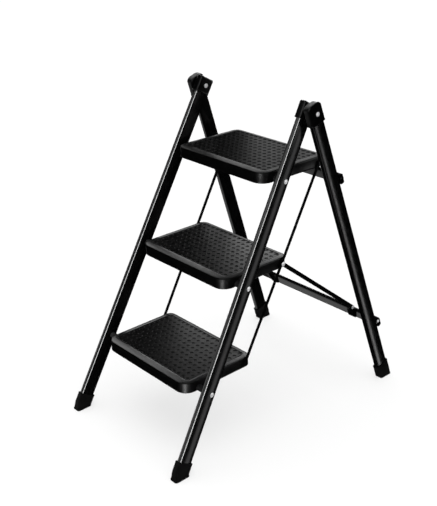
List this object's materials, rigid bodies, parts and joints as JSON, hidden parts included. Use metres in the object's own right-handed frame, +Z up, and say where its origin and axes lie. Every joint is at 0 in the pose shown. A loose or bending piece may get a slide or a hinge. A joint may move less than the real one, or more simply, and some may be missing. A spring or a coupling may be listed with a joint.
{
  "type": "folding step ladder",
  "caption": "Folding A-frame step ladder with flat-oval tube rails, wide recessed-mat steps that fold with the rear legs, plastic caps and rubber boots.",
  "frame": {"origin": "on the floor, at the centre of the footprint of the open ladder", "axes": "+Z up, +Y from the climbing side to the rear, +X to the right as seen from the climbing side"},
  "size_m": [0.48, 0.7128, 0.7849],
  "materials": {
    "tube": "satin black powder coat on steel tube",
    "cap": "black moulded end caps",
    "boot": "matt black rubber",
    "rivet": "zinc-plated steel",
    "dark_rivet": "black oxide steel",
    "washer": "black nylon",
    "spacer": "black nylon bush",
    "pan": "black moulding with a satin top edge",
    "mat": "black anti-slip mat",
    "bracket": "black steel side bracket",
    "strap": "black steel strip"
  },
  "bodies": {
    "front_frame": {"front_rail_left": "tube", "front_rail_right": "tube", "front_cap_left": "cap", "front_cap_right": "cap", "front_boot_left": "boot", "front_boot_right": "boot", "hinge_rivet_left": "rivet", "hinge_rivet_right": "rivet", "hinge_washers": "washer", "step_axle_lower": "rivet", "step_axle_middle": "rivet", "step_axle_upper": "rivet", "axle_spacers_lower": "spacer", "axle_spacers_middle": "spacer", "axle_spacers_upper": "spacer"},
    "rear_frame": {"rear_leg_left": "tube", "rear_leg_right": "tube", "hinge_cap_left": "cap", "hinge_cap_right": "cap", "rear_boot_left": "boot", "rear_boot_right": "boot", "crossbar_lower": "tube", "crossbar_upper": "tube", "crossbar_rivets_lower": "rivet", "crossbar_rivets_upper": "dark_rivet", "tie_lug_left": "strap", "tie_lug_right": "strap", "tie_lug_pins": "rivet"},
    "step_lower": {"step_pan_lower": "pan", "step_mat_lower": "mat", "step_brackets_lower": "bracket", "link_pins_lower": "dark_rivet"},
    "step_middle": {"step_pan_middle": "pan", "step_mat_middle": "mat", "step_brackets_middle": "bracket", "link_pins_middle": "dark_rivet"},
    "step_upper": {"step_pan_upper": "pan", "step_mat_upper": "mat", "step_brackets_upper": "bracket", "link_pins_upper": "dark_rivet"},
    "link_rods": {"link_rod_left": "strap", "link_rod_right": "strap"},
    "tie_straps": {"tie_strap_left": "strap", "tie_strap_right": "strap", "tie_strap_rivets": "rivet"}
  },
  "joints": [
    {"name": "rear_fold", "type": "hinge", "parent": "front_frame", "child": "rear_frame", "pos_m": [0, 0.07181, 0.75814], "axis": [-1, 0, 0], "range_deg": [0, 46.5]},
    {"name": "step_lower_fold", "type": "hinge", "parent": "front_frame", "child": "step_lower", "pos_m": [0, -0.23784, 0.17526], "axis": [1, 0, 0], "range_deg": [0, 54.5]},
    {"name": "step_middle_fold", "type": "hinge", "parent": "front_frame", "child": "step_middle", "pos_m": [0, -0.11855, 0.39496], "axis": [1, 0, 0], "range_deg": [0, 54.5]},
    {"name": "step_upper_fold", "type": "hinge", "parent": "front_frame", "child": "step_upper", "pos_m": [0, 0.00074, 0.61467], "axis": [1, 0, 0], "range_deg": [0, 54.5]},
    {"name": "link_rods_swing", "type": "hinge", "parent": "step_middle", "child": "link_rods", "pos_m": [0, 0.02245, 0.39996], "axis": [1, 0, 0], "range_deg": [-54.5, 0]},
    {"name": "tie_straps_swing", "type": "hinge", "parent": "rear_frame", "child": "tie_straps", "pos_m": [0, 0.28336, 0.19338], "axis": [1, 0, 0], "range_deg": [-32.9, 0]}
  ],
  "couplings": [
    {"joint": "step_lower_fold", "follows": "rear_fold", "ratio": 1.1613},
    {"joint": "step_middle_fold", "follows": "rear_fold", "ratio": 1.1613},
    {"joint": "step_upper_fold", "follows": "rear_fold", "ratio": 1.1613},
    {"joint": "link_rods_swing", "follows": "rear_fold", "ratio": -1.1613},
    {"joint": "tie_straps_swing", "follows": "rear_fold", "ratio": -0.69646}
  ]
}
